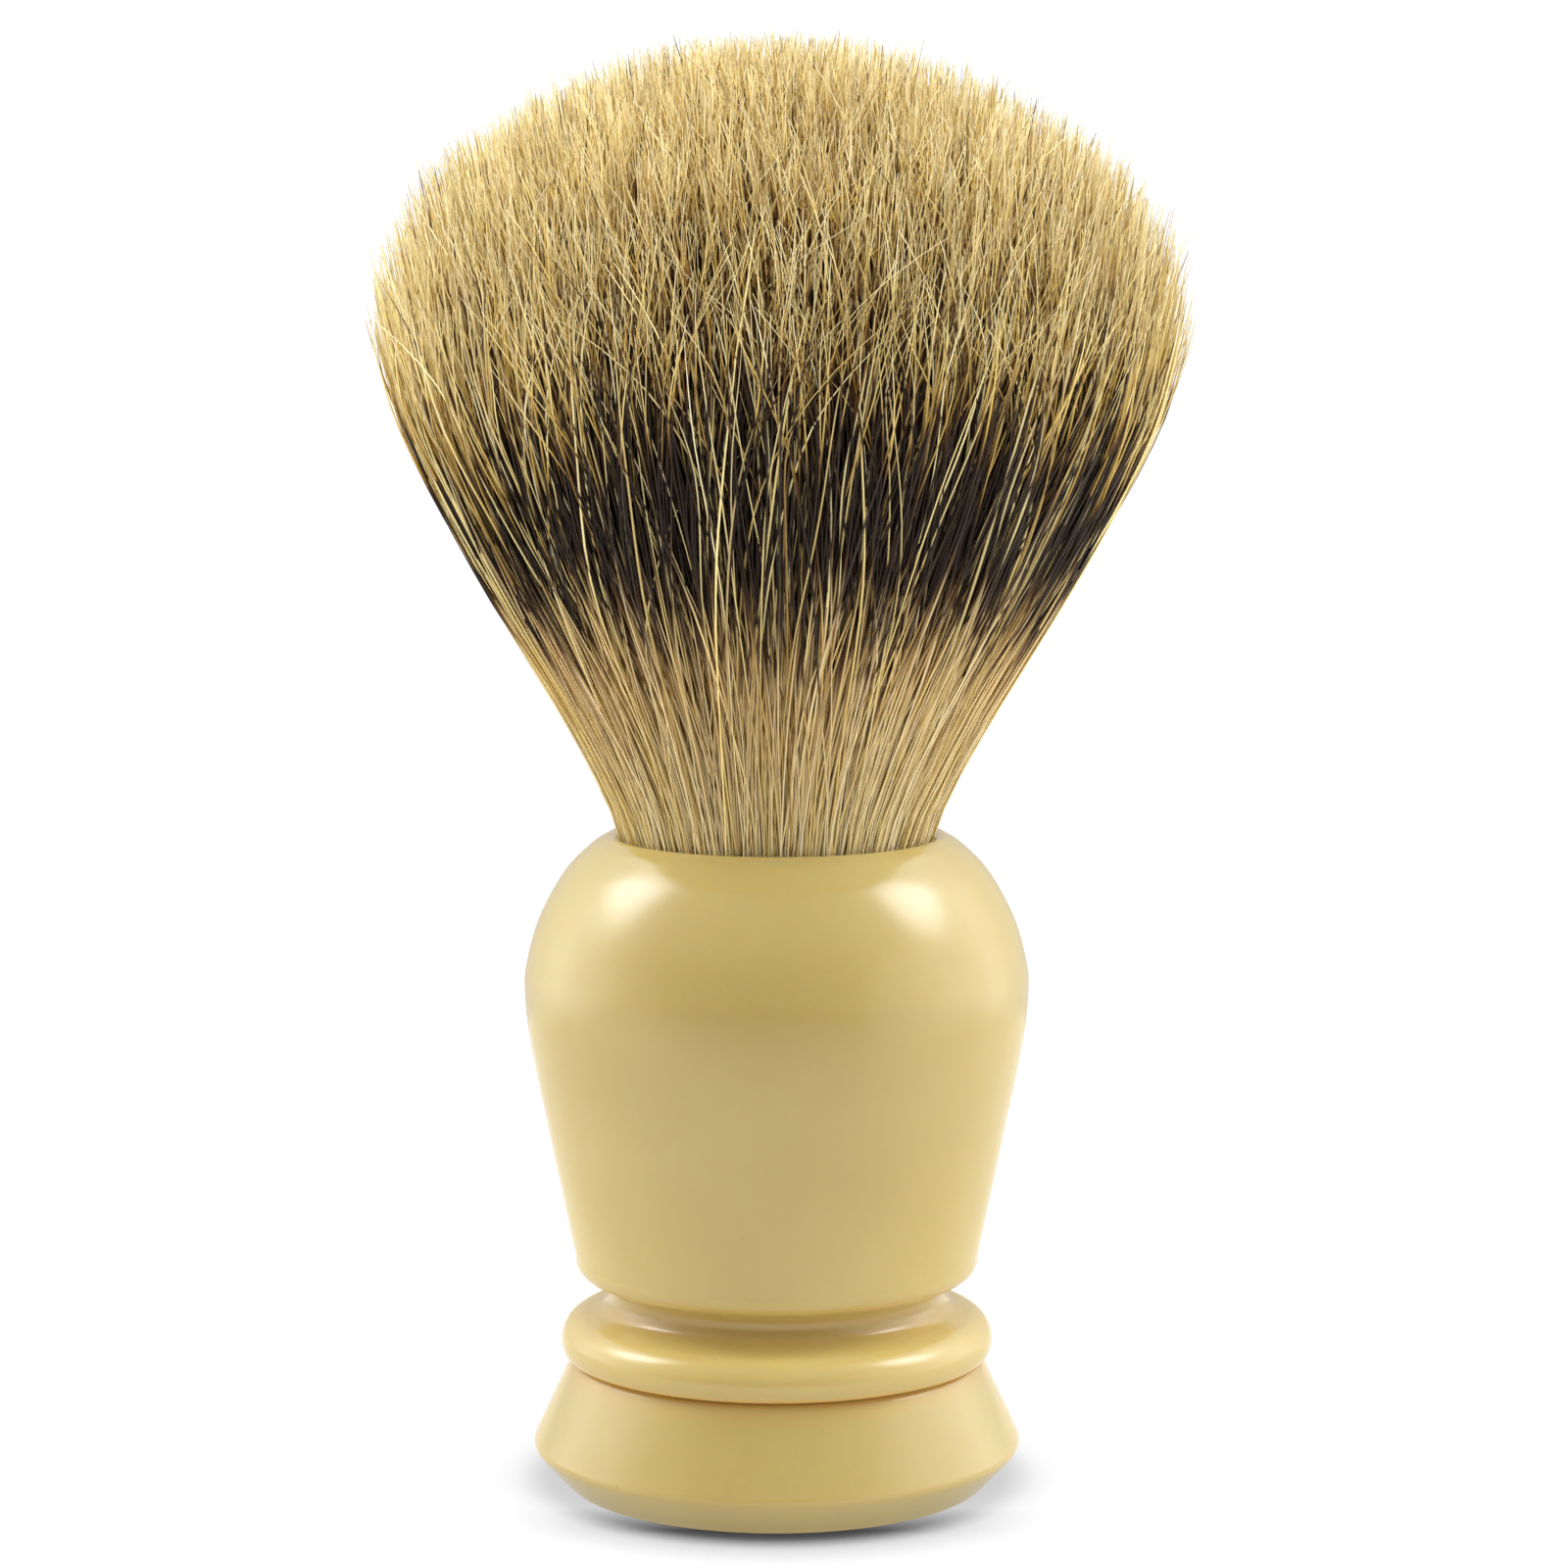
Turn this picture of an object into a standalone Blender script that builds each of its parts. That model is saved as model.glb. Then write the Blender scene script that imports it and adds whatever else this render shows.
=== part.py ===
"""Shaving brush: a banded badger-hair knot glued into a turned resin handle.

Units are metres and +Z is up. The origin is the middle of the ring that the foot rests on, and +Z runs
up the axis of the brush. Heights are measured from there, and radii from the axis.

The handle is three turned pieces in a stack: the foot, the neck ring and the body. A tie screw comes up
from a pocket in the foot, through the neck ring, into a brass insert in the body. A ballast ring fills
the pocket, and a disc closes it. The knot's resin plug is glued into the socket in the top of the body.
"""
import math

import bmesh
import bpy
from mathutils import Vector
from mathutils.geometry import interpolate_bezier

MM = 0.001
GAP = 0.3 * MM                      # air left between two pieces that touch

# Driving dimensions.
KNOT_DIAMETER = 22.0 * MM           # hair bundle where it leaves the handle
HANDLE_HEIGHT = 46.8 * MM           # foot to the lip round the hair
BODY_BOTTOM = 14.95 * MM            # underside of the body
BODY_DIAMETER = 36.0 * MM           # widest part of the body
BODY_LOW_RADIUS = 14.5 * MM         # where the body's taper ends
NECK_BOTTOM = 9.3 * MM              # underside of the neck ring
RING_DIAMETER = 31.1 * MM           # widest part of the neck ring
FOOT_DIAMETER = 35.1 * MM           # widest part of the foot
FOOT_REST_RADIUS = 15.25 * MM       # outer edge of the ring that the foot rests on
LOFT = 56.5 * MM                    # free length of the hair at the axis
HAIR_DIAMETER = 57.1 * MM           # widest part of the hair
HAIR_SPLIT = 10.0 * MM              # height of the bending root of the hair above the lip
SCREW_RADIUS = 2.0 * MM

# Turned pieces get this many sides.
LARGE_STEPS = 48
SMALL_STEPS = 28

# Levels and radii that neighbouring pieces share.
LIP_RADIUS = KNOT_DIAMETER / 2 + 0.2 * MM
SOCKET_FLOOR = HANDLE_HEIGHT - 15.9 * MM
TENON_RADIUS = 9.3 * MM             # recess in the body for the neck ring's tenon
TENON_TOP = BODY_BOTTOM + 2.4 * MM
INSERT_RADIUS = 4.3 * MM            # hole for the brass insert
INSERT_TOP = TENON_TOP + 11.5 * MM
FOOT_TOP = NECK_BOTTOM - GAP
SPIGOT_RADIUS = 8.0 * MM            # recess in the foot for the neck ring's spigot
SPIGOT_FLOOR = FOOT_TOP - 1.2 * MM
WEB_BOTTOM = 5.9 * MM               # wall in the foot that the screw pulls against
POCKET_RADIUS = 10.8 * MM
DISC_RECESS_RADIUS = 12.1 * MM
DISC_RECESS_TOP = 1.8 * MM
SCREW_HOLE_RADIUS = SCREW_RADIUS + GAP
PLUG_BOTTOM = SOCKET_FLOOR + 1.6 * MM
PLUG_TOP = SOCKET_FLOOR + 10.7 * MM
PLUG_RADIUS = 9.8 * MM
HAIR_TOP = HANDLE_HEIGHT + LOFT


def clear_scene():
    for old in list(bpy.data.objects):
        bpy.data.objects.remove(old)


def make_material(name, colour, roughness, metallic=0.0):
    material = bpy.data.materials.new(name)
    material.use_nodes = True
    shader = material.node_tree.nodes["Principled BSDF"]
    shader.inputs["Base Color"].default_value = (*colour, 1.0)
    shader.inputs["Roughness"].default_value = roughness
    shader.inputs["Metallic"].default_value = metallic
    return material


def arc(centre, radius, start, end, steps):
    """Points of an arc in the (radius, height) plane. Angles are in degrees, 0 points outwards."""
    angles = [math.radians(start + (end - start) * i / steps) for i in range(steps + 1)]
    return [(centre[0] + radius * math.cos(a), centre[1] + radius * math.sin(a)) for a in angles]


def smooth_curve(points, steps):
    """A smooth curve through the points, with this many straight pieces between each two."""
    knots = [Vector((r, 0, z)) for r, z in points]
    padded = [2 * knots[0] - knots[1], *knots, 2 * knots[-1] - knots[-2]]
    curve = []
    for before, start, end, after in zip(padded, padded[1:], padded[2:], padded[3:]):
        handle_out = start + (end - before) / 6
        handle_in = end - (after - start) / 6
        curve += interpolate_bezier(start, handle_out, handle_in, end, steps + 1)[:-1]
    curve.append(knots[-1])
    return [(p.x, p.z) for p in curve]


def turn(name, outline, material, steps=LARGE_STEPS):
    """Turn an outline of (radius, height) points about Z. Its ends are on the axis, or it closes."""
    bm = bmesh.new()
    verts = [bm.verts.new((r, 0, z)) for r, z in outline]
    edges = [bm.edges.new(pair) for pair in zip(verts, verts[1:])]
    on_axis = outline[0][0] == 0 and outline[-1][0] == 0
    if not on_axis:
        edges.append(bm.edges.new((verts[-1], verts[0])))
    bmesh.ops.spin(
        bm, geom=verts + edges, axis=(0, 0, 1), angle=math.tau, steps=steps, use_merge=True,
    )
    bmesh.ops.remove_doubles(bm, verts=bm.verts, dist=1e-7)
    bmesh.ops.recalc_face_normals(bm, faces=bm.faces)
    mesh = bpy.data.meshes.new(name)
    bm.to_mesh(mesh)
    bm.free()
    mesh.materials.append(material)
    mesh.shade_smooth()
    mesh.set_sharp_from_angle(angle=math.radians(35))
    piece = bpy.data.objects.new(name, mesh)
    bpy.context.collection.objects.link(piece)
    return piece


def body_outside():
    """The bulb from its lip to its underside: a tight shoulder, a full belly and a straight taper."""
    widest = BODY_DIAMETER / 2
    bulb = smooth_curve(
        [
            (LIP_RADIUS + 0.9 * MM, HANDLE_HEIGHT),
            (13.3 * MM, HANDLE_HEIGHT - 0.75 * MM),
            (15.2 * MM, HANDLE_HEIGHT - 2.7 * MM),
            (17.0 * MM, HANDLE_HEIGHT - 6.0 * MM),
            (widest - 0.1 * MM, HANDLE_HEIGHT - 9.3 * MM),
            (widest, HANDLE_HEIGHT - 11.4 * MM),
            (17.75 * MM, HANDLE_HEIGHT - 14.2 * MM),
            (17.15 * MM, HANDLE_HEIGHT - 17.5 * MM),
        ],
        steps=3,
    )
    edge_radius = 1.3 * MM
    edge = arc((BODY_LOW_RADIUS - edge_radius, BODY_BOTTOM + edge_radius), edge_radius, 10, -90, 5)
    return bulb + edge


def handle_body(material):
    entry = 0.3 * MM                # rounded entry of the socket
    outline = [
        (0, SOCKET_FLOOR),
        (LIP_RADIUS, SOCKET_FLOOR),
        (LIP_RADIUS, HANDLE_HEIGHT - entry),
        (LIP_RADIUS + entry, HANDLE_HEIGHT),
        *body_outside(),
        (TENON_RADIUS, BODY_BOTTOM),
        (TENON_RADIUS, TENON_TOP),
        (INSERT_RADIUS, TENON_TOP),
        (INSERT_RADIUS, INSERT_TOP),
        (0, INSERT_TOP),
    ]
    return turn("handle_body", outline, material)


def neck_ring(material):
    """A tenon, a hollow-curved neck, a rounded ring and a spigot, bored through for the screw."""
    top = TENON_TOP - GAP
    shoulder = BODY_BOTTOM - GAP
    tenon = TENON_RADIUS - GAP
    chamfer = 0.4 * MM
    hollow = arc((13.05 * MM, shoulder - 1.55 * MM), 1.05 * MM, 135, 258, 6)
    side_round = 3.6 * MM
    top_round = 1.05 * MM
    middle = NECK_BOTTOM + 1.1 * MM
    widest = RING_DIAMETER / 2
    bead = arc((widest - 1.2 * MM, middle + 0.7 * MM), top_round, 100, 20, 5)
    bead += arc((widest - side_round, middle), side_round, 8, -14, 3)
    outline = [
        (SCREW_HOLE_RADIUS, top),
        (tenon - chamfer, top),
        (tenon, top - chamfer),
        (tenon, shoulder),
        (12.2 * MM, shoulder),
        *hollow,
        *bead,
        (widest - 0.4 * MM, NECK_BOTTOM),
        (SPIGOT_RADIUS - GAP, NECK_BOTTOM),
        (SPIGOT_RADIUS - GAP, SPIGOT_FLOOR + GAP),
        (SCREW_HOLE_RADIUS, SPIGOT_FLOOR + GAP),
    ]
    return turn("neck_ring", outline, material)


def base_foot(material):
    """The flared foot, with a recess above for the spigot and a pocket below for ballast and screw."""
    widest = FOOT_DIAMETER / 2
    flare = [(14.3 * MM, FOOT_TOP), (14.7 * MM, FOOT_TOP - 0.4 * MM)]
    shoulder = arc((widest - 0.7 * MM, 2.75 * MM), 0.7 * MM, 26, -48, 4)
    outline = [
        (SPIGOT_RADIUS, FOOT_TOP),
        *flare,
        *shoulder,
        (FOOT_REST_RADIUS + 0.15 * MM, 0.15 * MM),
        (FOOT_REST_RADIUS, 0),
        (DISC_RECESS_RADIUS, 0),
        (DISC_RECESS_RADIUS, DISC_RECESS_TOP),
        (POCKET_RADIUS, DISC_RECESS_TOP),
        (POCKET_RADIUS, WEB_BOTTOM),
        (SCREW_HOLE_RADIUS, WEB_BOTTOM),
        (SCREW_HOLE_RADIUS, SPIGOT_FLOOR),
        (SPIGOT_RADIUS, SPIGOT_FLOOR),
    ]
    return turn("base_foot", outline, material)


def brass_insert(material):
    """A sleeve with a waist between two rims, so that the resin round it grips it."""
    low = TENON_TOP + GAP
    high = INSERT_TOP - GAP
    rim = INSERT_RADIUS - GAP
    waist = rim - 0.6 * MM
    rim_height = 3.0 * MM
    outline = [
        (SCREW_HOLE_RADIUS, high),
        (rim, high),
        (rim, high - rim_height),
        (waist, high - rim_height),
        (waist, low + rim_height),
        (rim, low + rim_height),
        (rim, low),
        (SCREW_HOLE_RADIUS, low),
    ]
    return turn("brass_insert", outline, material, SMALL_STEPS)


def screw_washer(material):
    top = WEB_BOTTOM - GAP
    bottom = top - 0.7 * MM
    outline = [(SCREW_HOLE_RADIUS, top), (5.0 * MM, top), (5.0 * MM, bottom), (SCREW_HOLE_RADIUS, bottom)]
    return turn("screw_washer", outline, material, SMALL_STEPS)


def tie_screw(material):
    """A cylinder-head screw with a hexagon socket, its head in the foot's pocket."""
    seat = WEB_BOTTOM - 2 * GAP - 0.7 * MM
    head_bottom = seat - 2.2 * MM
    head_radius = 3.6 * MM
    tip = INSERT_TOP - 1.6 * MM
    outline = [
        (0, tip),
        (SCREW_RADIUS - 0.5 * MM, tip),
        (SCREW_RADIUS, tip - 0.5 * MM),
        (SCREW_RADIUS, seat),
        (head_radius, seat),
        (head_radius, head_bottom + 0.3 * MM),
        (head_radius - 0.3 * MM, head_bottom),
        (0, head_bottom),
    ]
    screw = turn("tie_screw", outline, material, SMALL_STEPS)
    socket_depth = 1.3 * MM
    bpy.ops.mesh.primitive_cylinder_add(
        vertices=6, radius=1.7 * MM, depth=2 * socket_depth, location=(0, 0, head_bottom),
    )
    cutter = bpy.context.object
    cutter.name = "hexagon_cutter"
    cutter.hide_render = True
    cutter.display_type = "WIRE"
    cut = screw.modifiers.new("hexagon socket", "BOOLEAN")
    cut.operation = "DIFFERENCE"
    cut.solver = "EXACT"
    cut.object = cutter
    return screw


def ballast_weight(material):
    low = DISC_RECESS_TOP + GAP
    high = WEB_BOTTOM - GAP
    outer = POCKET_RADIUS - GAP
    inner = 5.4 * MM
    outline = [(inner, high), (outer, high), (outer, low), (inner, low)]
    return turn("ballast_weight", outline, material, LARGE_STEPS)


def base_disc(material):
    low = 0.3 * MM
    high = DISC_RECESS_TOP - GAP
    outer = DISC_RECESS_RADIUS - GAP
    outline = [(0, high), (outer, high), (outer, low), (0, low)]
    return turn("base_disc", outline, material, LARGE_STEPS)


def socket_adhesive(material):
    """A cup of epoxy under and round the foot of the plug."""
    outer = LIP_RADIUS - GAP
    inner = PLUG_RADIUS + GAP
    low = SOCKET_FLOOR + GAP
    rim = PLUG_BOTTOM + 4.5 * MM
    floor = PLUG_BOTTOM - GAP
    outline = [(0, floor), (inner, floor), (inner, rim), (outer, rim), (outer, low), (0, low)]
    return turn("socket_adhesive", outline, material, SMALL_STEPS)


def knot_plug(material):
    """The hair ends set in hard resin, slightly domed below."""
    chamfer = 0.8 * MM
    outline = [
        (0, PLUG_TOP),
        (PLUG_RADIUS, PLUG_TOP),
        (PLUG_RADIUS, PLUG_BOTTOM + chamfer),
        (PLUG_RADIUS - chamfer, PLUG_BOTTOM),
        (0, PLUG_BOTTOM),
    ]
    return turn("knot_plug", outline, material, SMALL_STEPS)


def knot_binding(material):
    """Four turns of waxed thread round the top of the plug, lying against each other."""
    turns = 4
    thread = 0.42 * MM
    inner = PLUG_RADIUS + GAP
    top = PLUG_TOP - 0.4 * MM
    outline = [(inner, top)]
    for i in range(turns):
        centre = (inner + thread / 2, top - thread * (i + 0.5))
        outline += arc(centre, thread / 2, 60, -60, 3)
    outline.append((inner, top - turns * thread))
    return turn("knot_binding", outline, material, SMALL_STEPS)


def hair_outside():
    """The free hair's outline from the tip of the dome down to the lip: a dome over a flared bundle."""
    widest = HAIR_DIAMETER / 2
    return smooth_curve(
        [
            (0, HAIR_TOP),
            (7.2 * MM, HAIR_TOP - 1.2 * MM),
            (13.5 * MM, HAIR_TOP - 3.3 * MM),
            (20.8 * MM, HAIR_TOP - 7.4 * MM),
            (25.4 * MM, HAIR_TOP - 11.6 * MM),
            (widest - 0.75 * MM, HAIR_TOP - 15.7 * MM),
            (widest, HAIR_TOP - 19.4 * MM),
            (widest - 0.3 * MM, HAIR_TOP - 23.2 * MM),
            (26.7 * MM, HAIR_TOP - 28.1 * MM),
            (22.3 * MM, HAIR_TOP - 36.4 * MM),
            (16.3 * MM, HANDLE_HEIGHT + HAIR_SPLIT),
        ],
        steps=2,
    )


def hair_crown(material):
    """The upper two thirds of the hair, which swing nearly whole."""
    bottom = HANDLE_HEIGHT + HAIR_SPLIT
    return turn("hair_crown", [*hair_outside(), (0, bottom)], material)


def hair_root(material):
    """The lower third of the hair, which bends, with its end inside the socket above the plug."""
    top = HANDLE_HEIGHT + HAIR_SPLIT - GAP
    bottom = PLUG_TOP + GAP
    radius = KNOT_DIAMETER / 2 - 0.1 * MM
    outline = [
        (0, top),
        (16.1 * MM, top),
        (13.4 * MM, HANDLE_HEIGHT + 5.0 * MM),
        (11.6 * MM, HANDLE_HEIGHT + 1.4 * MM),
        (radius, HANDLE_HEIGHT - 0.4 * MM),
        (radius, bottom),
        (0, bottom),
    ]
    return turn("hair_root", outline, material)


def build():
    clear_scene()
    resin = make_material("cream resin", (0.64, 0.52, 0.22), 0.15)
    brass = make_material("brass", (0.72, 0.52, 0.20), 0.3, metallic=1.0)
    steel = make_material("steel", (0.56, 0.56, 0.58), 0.35, metallic=1.0)
    epoxy = make_material("epoxy", (0.55, 0.42, 0.18), 0.2)
    felt = make_material("felt", (0.60, 0.50, 0.28), 0.9)
    thread = make_material("waxed thread", (0.70, 0.64, 0.50), 0.7)
    hair_base = make_material("pale hair", (0.62, 0.50, 0.31), 0.6)
    hair_band = make_material("banded hair", (0.24, 0.17, 0.10), 0.6)

    handle_body(resin)
    neck_ring(resin)
    base_foot(resin)
    brass_insert(brass)
    tie_screw(steel)
    screw_washer(steel)
    ballast_weight(steel)
    base_disc(felt)
    socket_adhesive(epoxy)
    knot_plug(epoxy)
    knot_binding(thread)
    hair_root(hair_base)
    hair_crown(hair_band)


build()
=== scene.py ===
"""Looks of the shaving brush: polished cream resin, banded badger hair, a white floor and soft light.

Lengths are in millimetres unless a comment says otherwise, and MM turns them into the frame's metres.
Heights are measured from the surface that the foot rests on.
"""
import math

import bmesh
import bpy
import numpy as np
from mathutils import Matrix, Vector
from mathutils.geometry import interpolate_bezier


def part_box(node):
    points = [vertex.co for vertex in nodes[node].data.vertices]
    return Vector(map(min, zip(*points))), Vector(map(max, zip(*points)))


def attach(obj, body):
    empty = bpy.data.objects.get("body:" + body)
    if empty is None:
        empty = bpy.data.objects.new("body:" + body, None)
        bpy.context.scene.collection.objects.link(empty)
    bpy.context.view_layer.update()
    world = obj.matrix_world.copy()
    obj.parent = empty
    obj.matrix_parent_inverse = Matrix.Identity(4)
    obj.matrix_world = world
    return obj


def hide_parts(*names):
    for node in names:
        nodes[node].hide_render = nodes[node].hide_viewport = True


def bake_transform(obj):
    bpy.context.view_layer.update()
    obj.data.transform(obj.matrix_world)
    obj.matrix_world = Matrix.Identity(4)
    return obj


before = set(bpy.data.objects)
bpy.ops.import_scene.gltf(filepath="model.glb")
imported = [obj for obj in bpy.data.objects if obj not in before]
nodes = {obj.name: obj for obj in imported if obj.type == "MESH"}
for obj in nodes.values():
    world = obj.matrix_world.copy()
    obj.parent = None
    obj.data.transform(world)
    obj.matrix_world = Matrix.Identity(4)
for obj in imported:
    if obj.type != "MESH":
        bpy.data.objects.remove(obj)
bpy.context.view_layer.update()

MM = 0.001

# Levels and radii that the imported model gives, in millimetres.
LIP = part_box("handle_body")[1].z / MM
BODY_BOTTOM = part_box("handle_body")[0].z / MM
BODY_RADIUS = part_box("handle_body")[1].x / MM
TENON_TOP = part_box("neck_ring")[1].z / MM
RING_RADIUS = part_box("neck_ring")[1].x / MM
SPIGOT_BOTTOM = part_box("neck_ring")[0].z / MM
FOOT_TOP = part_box("base_foot")[1].z / MM
FOOT_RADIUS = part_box("base_foot")[1].x / MM
DISC_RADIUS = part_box("base_disc")[1].x / MM
HAIR_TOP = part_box("hair_crown")[1].z / MM
HAIR_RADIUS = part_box("hair_crown")[1].x / MM

# The handle's other dimensions, as in the CAD model.
SOCKET_RADIUS = 11.2
SOCKET_DEPTH = 15.9
TENON_BORE = 9.3                    # radius of the recess in the body for the neck ring's tenon
INSERT_BORE = 4.3
INSERT_DEPTH = 11.5
SPIGOT_BORE = 8.0
SCREW_BORE = 2.3
BODY_LOW_RADIUS = 14.5              # where the body's taper ends
REST_RADIUS = 15.25                 # outer edge of the ring that the foot rests on
POCKET_RADIUS = 10.8
POCKET_TOP = 5.9
DISC_RECESS_TOP = 1.8
CLEARANCE = 0.3                     # air left round the hidden fits

# Finer than in the CAD model.
SEAM = 0.1                          # hairline left between the body and the neck ring
AXIS_HOLE = 0.2                     # a turned outline stops this far from the axis


# ---------------------------------------------------------------- small tools

def srgb(red, green, blue):
    """A colour given as the eye reads it, 0 to 255, as the linear values that the shaders take."""
    return tuple((c / 255 / 12.92) if c <= 10 else ((c / 255 + 0.055) / 1.055) ** 2.4
                 for c in (red, green, blue)) + (1.0,)


def grey(level):
    """A neutral colour, given as its linear value."""
    return (level, level, level, 1.0)


def smooth_step(x, low, high):
    """0 below low, 1 above high, and an even S between them."""
    t = np.clip((x - low) / (high - low), 0.0, 1.0)
    return t * t * (3 - 2 * t)


def arc(centre, radius, start, end, steps):
    """Points along an arc, from one angle to another in degrees."""
    angles = [math.radians(start + (end - start) * i / steps) for i in range(steps + 1)]
    return [(centre[0] + radius * math.cos(a), centre[1] + radius * math.sin(a)) for a in angles]


def smooth_curve(points, steps):
    """A smooth curve through the points, with this many straight pieces between each two."""
    knots = [Vector((r, 0, z)) for r, z in points]
    padded = [2 * knots[0] - knots[1], *knots, 2 * knots[-1] - knots[-2]]
    curve = []
    for before, start, end, after in zip(padded, padded[1:], padded[2:], padded[3:]):
        handle_out = start + (end - before) / 6
        handle_in = end - (after - start) / 6
        curve += interpolate_bezier(start, handle_out, handle_in, end, steps + 1)[:-1]
    curve.append(knots[-1])
    return [(p.x, p.z) for p in curve]


def new_object(name, mesh, material):
    """A scene object for the mesh, in one material."""
    mesh.materials.append(material)
    piece = bpy.data.objects.new(name, mesh)
    bpy.context.scene.collection.objects.link(piece)
    return piece


def turn(name, outline, material, steps=192, sharp=40):
    """Turn an outline of (radius, height) points, in millimetres, about Z. It closes on itself."""
    bm = bmesh.new()
    verts = [bm.verts.new((r * MM, 0, z * MM)) for r, z in outline]
    edges = [bm.edges.new(pair) for pair in zip(verts, verts[1:] + verts[:1])]
    bmesh.ops.spin(bm, geom=verts + edges, axis=(0, 0, 1), angle=math.tau, steps=steps, use_merge=True)
    bmesh.ops.remove_doubles(bm, verts=bm.verts, dist=1e-7)
    bmesh.ops.recalc_face_normals(bm, faces=bm.faces)
    mesh = bpy.data.meshes.new(name)
    bm.to_mesh(mesh)
    bm.free()
    mesh.shade_smooth()
    mesh.set_sharp_from_angle(angle=math.radians(sharp))
    return new_object(name, mesh, material)


# ---------------------------------------------------------------- materials

class Material:
    """A node material with a Principled shader, and short ways to add what feeds it."""

    def __init__(self, name, colour, roughness, metallic=0.0):
        self.data = bpy.data.materials.new(name)
        self.data.use_nodes = True
        self.tree = self.data.node_tree
        self.shader = self.tree.nodes["Principled BSDF"]
        self.set("Base Color", colour)
        self.set("Roughness", roughness)
        self.set("Metallic", metallic)

    def set(self, socket, value):
        self.shader.inputs[socket].default_value = value

    def node(self, kind, **values):
        made = self.tree.nodes.new(kind)
        for key, value in values.items():
            if key in made.inputs:
                made.inputs[key].default_value = value
            else:
                setattr(made, key, value)
        return made

    def link(self, source, target):
        self.tree.links.new(source, target)

    def place(self, scale=(1, 1, 1)):
        """Object coordinates, stretched by a scale for each axis."""
        texture = self.node("ShaderNodeTexCoord")
        mapping = self.node("ShaderNodeMapping")
        mapping.inputs["Scale"].default_value = scale
        self.link(texture.outputs["Object"], mapping.inputs["Vector"])
        return mapping.outputs["Vector"]

    def noise(self, size, detail=3.0, stretch=(1, 1, 1)):
        """Noise from 0 to 1 whose blobs are about size millimetres across."""
        made = self.node("ShaderNodeTexNoise")
        made.inputs["Scale"].default_value = 1 / (size * MM)
        made.inputs["Detail"].default_value = detail
        self.link(self.place(stretch), made.inputs["Vector"])
        return made.outputs["Fac"]

    def remap(self, value, low, high, to_low, to_high):
        """Carry low..high over to to_low..to_high, held at both ends."""
        made = self.node("ShaderNodeMapRange")
        made.inputs["From Min"].default_value = low
        made.inputs["From Max"].default_value = high
        made.inputs["To Min"].default_value = to_low
        made.inputs["To Max"].default_value = to_high
        self.link(value, made.inputs["Value"])
        return made.outputs["Result"]

    def ramp(self, value, stops):
        """A colour for each value from 0 to 1, from (position, colour) stops."""
        made = self.node("ShaderNodeValToRGB")
        elements = made.color_ramp.elements
        while len(elements) < len(stops):
            elements.new(0.5)
        for element, (position, colour) in zip(elements, stops):
            element.position = position
            element.color = colour
        self.link(value, made.inputs["Fac"])
        return made.outputs["Color"]

    def mix(self, factor, first, second, blend="MIX"):
        """Mix two colours. Each of the three may be a socket or a fixed value."""
        made = self.node("ShaderNodeMix", data_type="RGBA", blend_type=blend)
        for socket, value in ((0, factor), (6, first), (7, second)):
            if isinstance(value, bpy.types.NodeSocket):
                self.link(value, made.inputs[socket])
            else:
                made.inputs[socket].default_value = value
        return made.outputs[2]

    def colour_from(self, socket):
        self.link(socket, self.shader.inputs["Base Color"])

    def roughness_from(self, socket):
        self.link(socket, self.shader.inputs["Roughness"])

    def bump_from(self, height, distance, strength=1.0):
        """Bump up to distance millimetres high."""
        made = self.node("ShaderNodeBump")
        made.inputs["Distance"].default_value = distance * MM
        made.inputs["Strength"].default_value = strength
        self.link(height, made.inputs["Height"])
        self.link(made.outputs["Normal"], self.shader.inputs["Normal"])


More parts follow.
